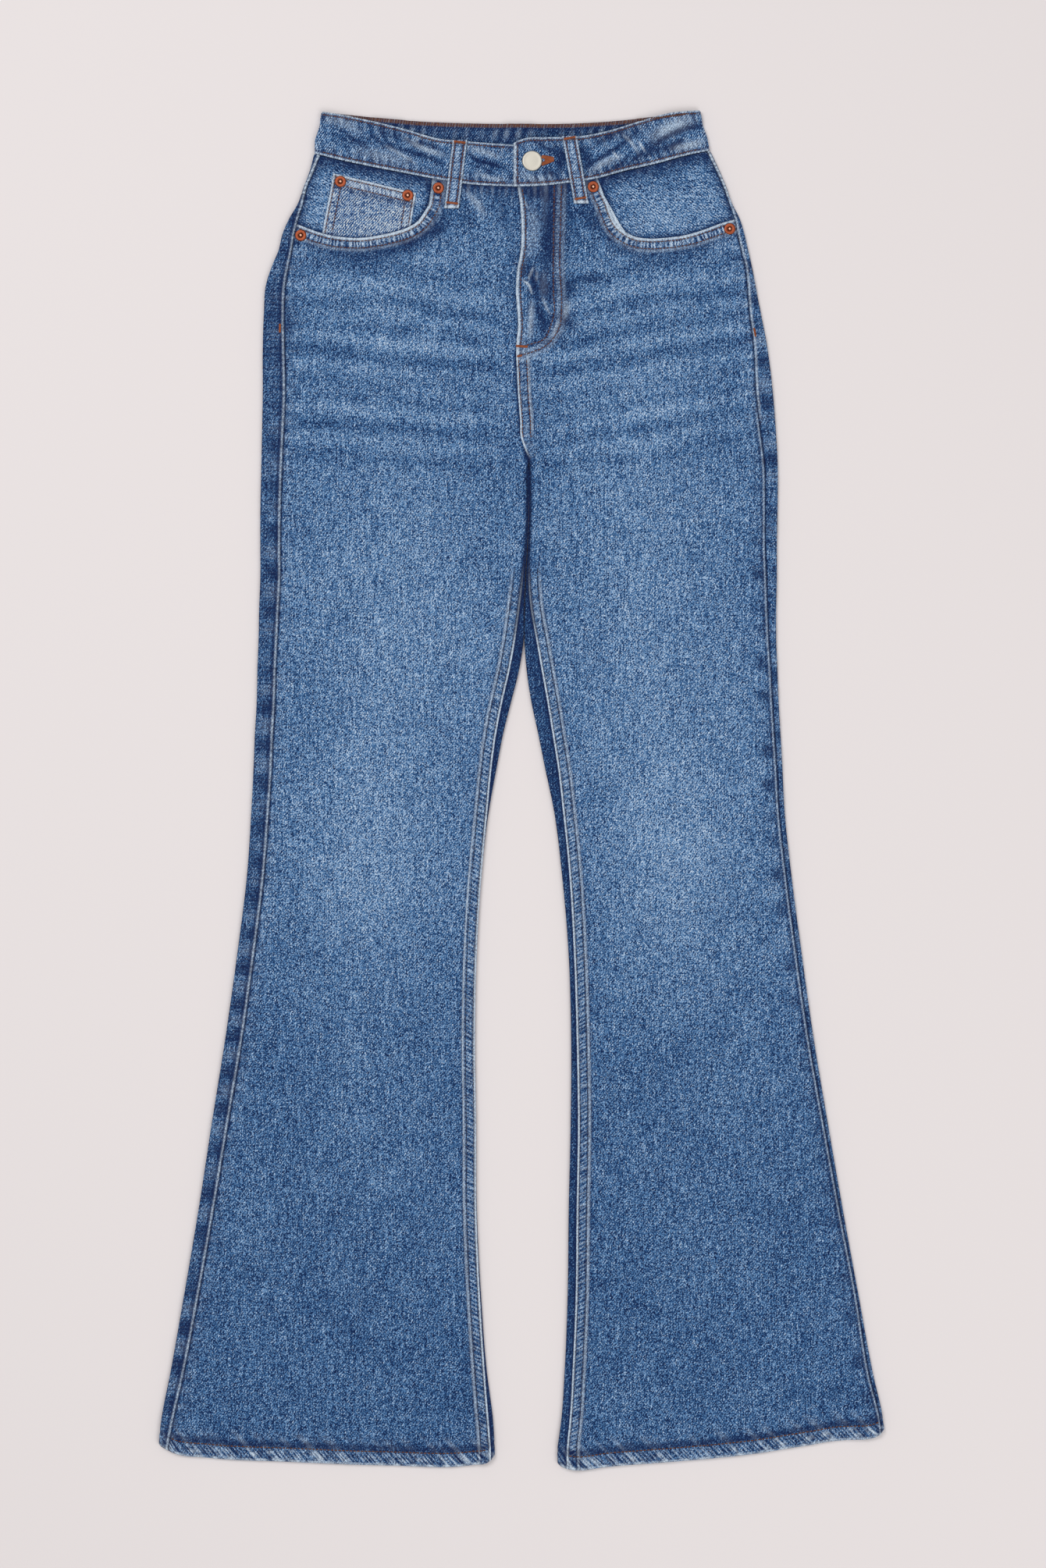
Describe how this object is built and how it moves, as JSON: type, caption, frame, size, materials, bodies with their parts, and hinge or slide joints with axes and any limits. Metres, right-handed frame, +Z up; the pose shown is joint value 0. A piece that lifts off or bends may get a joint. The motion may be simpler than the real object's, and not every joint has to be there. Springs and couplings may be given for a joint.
{
  "type": "flared jeans",
  "caption": "Denim jeans laid flat, front up: legs that flare below the knee, waistband with belt loops, scoop and patch pockets, button fly.",
  "frame": {"origin": "centre of the bounding box, on the surface that the jeans lie on", "axes": "+X to the wearer's left as seen from above the front, +Y towards the waist, +Z up from the surface"},
  "size_m": [0.6047, 1.1331, 0.0113],
  "materials": {
    "denim": "washed twill, matte",
    "denim_worn": "worn twill, matte",
    "denim_dark": "dark twill, matte",
    "zip_tape": "woven tape, matte",
    "button_metal": "pale satin metal",
    "rivet_copper": "aged copper"
  },
  "bodies": {
    "root": {"front_panel_right": "denim", "front_panel_left": "denim", "back_panel_right": "denim", "back_panel_left": "denim", "back_yoke_right": "denim", "back_yoke_left": "denim", "waistband": "denim", "pocket_facing_right": "denim", "pocket_facing_left": "denim", "back_pocket_right": "denim", "back_pocket_left": "denim", "belt_loop_back_right": "denim", "belt_loop_back_centre": "denim", "belt_loop_back_left": "denim", "coin_pocket": "denim_worn", "belt_loop_front_right": "denim_worn", "belt_loop_front_left": "denim_worn", "fly_shield": "denim_dark", "fly_zip": "zip_tape", "waist_button": "button_metal", "rivet_coin_outer": "rivet_copper", "rivet_coin_inner": "rivet_copper", "rivet_right_pocket_top": "rivet_copper", "rivet_right_pocket_side": "rivet_copper", "rivet_left_pocket_top": "rivet_copper", "rivet_left_pocket_side": "rivet_copper"}
  },
  "joints": []
}
